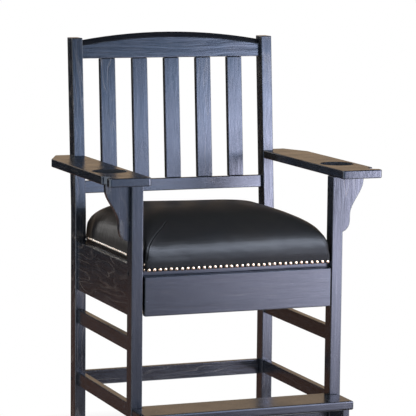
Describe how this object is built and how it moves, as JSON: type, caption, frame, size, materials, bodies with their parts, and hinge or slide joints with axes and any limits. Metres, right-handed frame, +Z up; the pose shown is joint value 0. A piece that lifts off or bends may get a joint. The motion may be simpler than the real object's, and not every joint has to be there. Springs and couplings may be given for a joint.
{
  "type": "bar-height armchair",
  "caption": "Tall wooden armchair with slatted back, domed leather seat, drawer, footrest board and arms with a cup recess and a cue notch.",
  "frame": {"origin": "middle of the chair's footprint, on the floor", "axes": "+Z up, the chair faces -Y, +X is on the right of someone who stands in front of it and looks at it"},
  "size_m": [0.758, 0.6431, 1.2607],
  "materials": {
    "black_wood": "satin black lacquer over open grain",
    "black_leather": "soft satin",
    "brass_nails": "polished",
    "pale_wood": "plain sanded",
    "dark_steel": "black oxide",
    "nylon": "matte"
  },
  "bodies": {
    "chair_frame": {"front_leg_left": "black_wood", "front_leg_right": "black_wood", "rear_post_left": "black_wood", "rear_post_right": "black_wood", "crest_rail": "black_wood", "lower_back_rail": "black_wood", "back_slat_1": "black_wood", "back_slat_2": "black_wood", "back_slat_3": "black_wood", "back_slat_4": "black_wood", "back_slat_5": "black_wood", "side_apron_left": "black_wood", "side_apron_right": "black_wood", "rear_seat_rail": "black_wood", "front_top_rail": "black_wood", "upper_side_stretcher_left": "black_wood", "upper_side_stretcher_right": "black_wood", "lower_side_stretcher_left": "black_wood", "lower_side_stretcher_right": "black_wood", "rear_stretcher": "black_wood", "front_stretcher": "black_wood", "footrest_board": "black_wood", "footrest_bracket_left": "black_wood", "footrest_bracket_right": "black_wood", "arm_left": "black_wood", "arm_right": "black_wood", "arm_bracket_left": "black_wood", "arm_bracket_right": "black_wood", "seat_cushion": "black_leather", "nailhead_trim_front": "brass_nails", "nailhead_trim_left": "brass_nails", "nailhead_trim_right": "brass_nails", "seat_board": "pale_wood", "drawer_runner_left": "pale_wood", "drawer_runner_right": "pale_wood", "front_corner_block_left": "pale_wood", "front_corner_block_right": "pale_wood", "rear_corner_block_left": "pale_wood", "rear_corner_block_right": "pale_wood", "crest_bolt_left": "dark_steel", "crest_bolt_right": "dark_steel", "back_rail_bolt_left": "dark_steel", "back_rail_bolt_right": "dark_steel", "seat_rail_bolt_left": "dark_steel", "seat_rail_bolt_right": "dark_steel", "rear_stretcher_bolt_left": "dark_steel", "rear_stretcher_bolt_right": "dark_steel", "front_rail_bolt_left": "dark_steel", "front_rail_bolt_right": "dark_steel", "front_glide_left": "nylon", "front_glide_right": "nylon", "rear_glide_left": "nylon", "rear_glide_right": "nylon"},
    "drawer": {"drawer_front": "black_wood", "drawer_side_left": "pale_wood", "drawer_side_right": "pale_wood", "drawer_back": "pale_wood", "drawer_bottom": "pale_wood"}
  },
  "joints": [
    {"name": "drawer_slide", "type": "slide", "parent": "chair_frame", "child": "drawer", "axis": [0, -1, 0], "range_m": [0, 0.28]}
  ]
}
